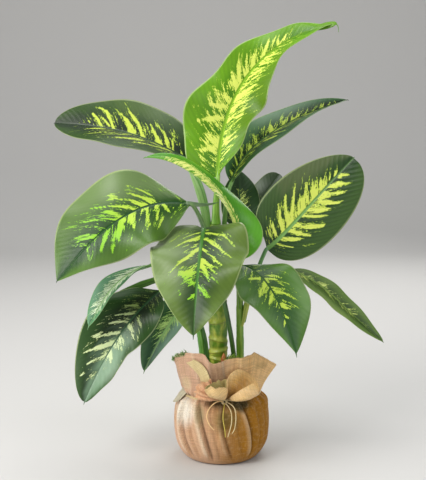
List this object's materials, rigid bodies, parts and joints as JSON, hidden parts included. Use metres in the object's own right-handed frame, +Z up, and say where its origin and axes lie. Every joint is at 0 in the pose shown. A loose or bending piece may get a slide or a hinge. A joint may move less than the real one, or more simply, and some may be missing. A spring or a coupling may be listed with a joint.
{
  "type": "potted dieffenbachia",
  "caption": "House plant with large cream-splashed leaves on a ringed cane and side shoots, in a nursery pot wrapped in gathered jute cloth that is tied with raffia.",
  "frame": {"origin": "on the floor under the middle of the pot, in the wrap's flat foot", "axes": "+Z up along the cane, -Y towards the front with the knot of the tie, +X to the right as seen from the front"},
  "size_m": [0.5704, 0.3645, 0.7169],
  "materials": {
    "cane": "smooth green bark with paler rings",
    "stem": "smooth satin green",
    "bud": "matt reddish brown",
    "young_leaf": "satin lime green with cream splashes",
    "leaf": "satin dark green with cream splashes",
    "pot": "matt moulded",
    "soil": "crumbly peat",
    "jute": "coarse plain weave",
    "raffia": "dry, faintly shiny fibre"
  },
  "bodies": {
    "root": {"cane_main": "cane", "shoot_left": "stem", "shoot_right": "stem", "cane_bud": "bud", "leaf_top": "young_leaf", "leaf_crossing": "young_leaf", "leaf_upper_left": "leaf", "leaf_upper_right": "leaf", "leaf_left": "leaf", "leaf_front": "leaf", "leaf_right": "leaf", "leaf_back": "leaf", "leaf_far_back": "leaf", "leaf_slim_left": "leaf", "leaf_low_left": "leaf", "leaf_small_left": "leaf", "leaf_low_right": "leaf", "leaf_far_right": "leaf", "pot": "pot", "soil": "soil", "wrap": "jute", "tie": "raffia", "tie_end_left": "raffia", "tie_end_middle": "raffia", "tie_end_right": "raffia", "tie_end_inner": "raffia"}
  },
  "joints": []
}
